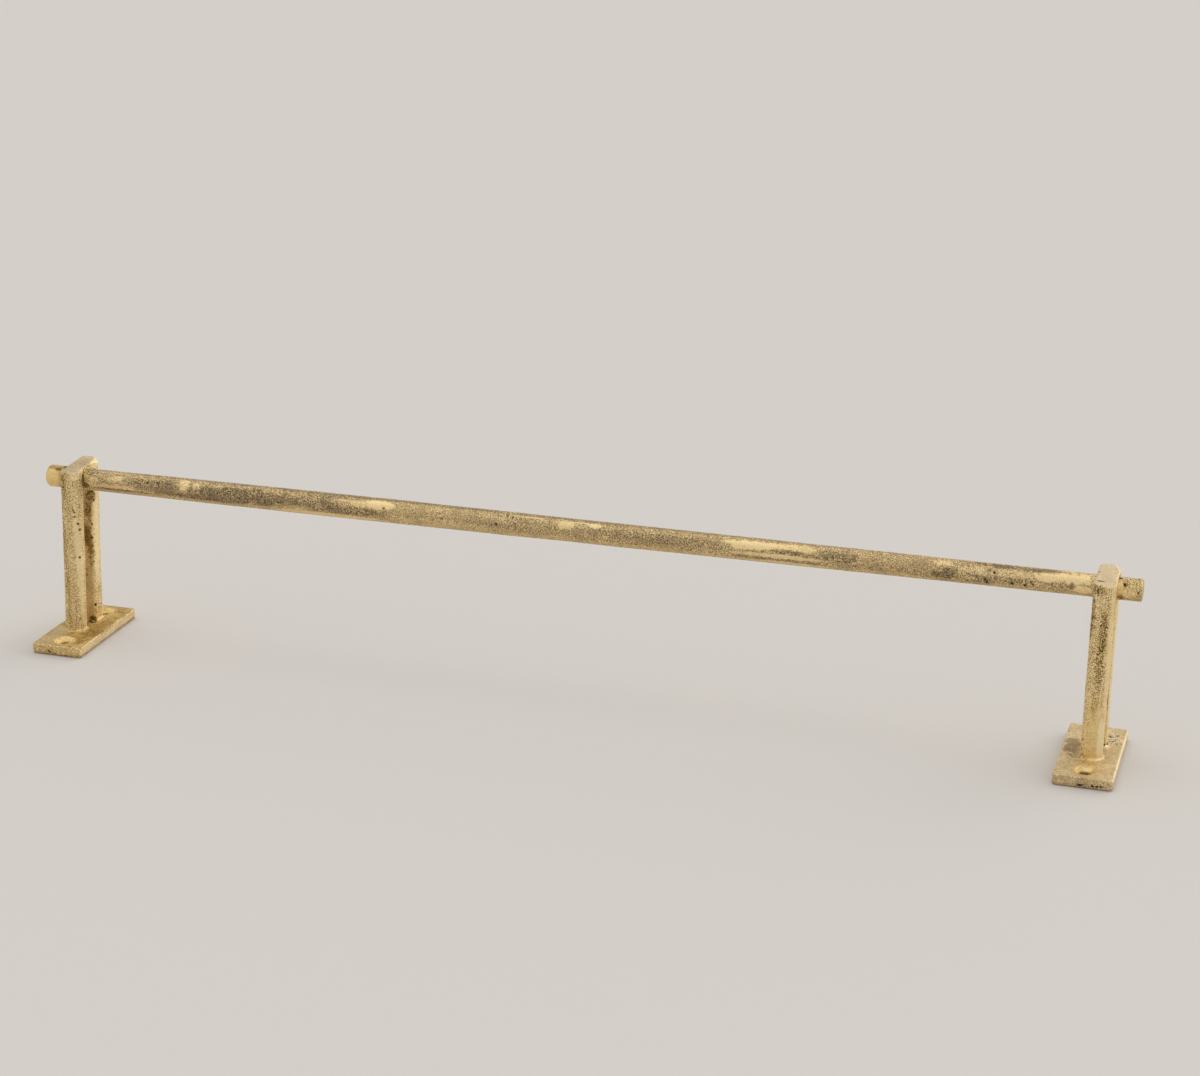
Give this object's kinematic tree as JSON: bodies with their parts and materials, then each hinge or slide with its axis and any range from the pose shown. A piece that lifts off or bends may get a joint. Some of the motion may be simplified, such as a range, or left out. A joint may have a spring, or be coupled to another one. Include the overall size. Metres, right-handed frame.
{
  "type": "towel bar",
  "caption": "Raw cast-brass towel bar: a round bar brazed through the eyes of hairpin-loop posts, which stand on flat wall plates with countersunk screw holes.",
  "frame": {"origin": "on the wall plane, at the middle of the screw holes of both plates", "axes": "+X along the bar to the right end, +Z out from the wall, +Y along the plates"},
  "size_m": [0.4855, 0.0524, 0.082],
  "materials": {
    "cast_brass_post": "raw sand-cast brass, pale gold with fine dark speckle and pores, crown and plate filed smooth",
    "cast_brass_bar": "raw cast brass with brown-grey patina, rubbed bright in patches"
  },
  "bodies": {
    "root": {"left_post": "cast_brass_post", "right_post": "cast_brass_post", "bar": "cast_brass_bar"}
  },
  "joints": []
}
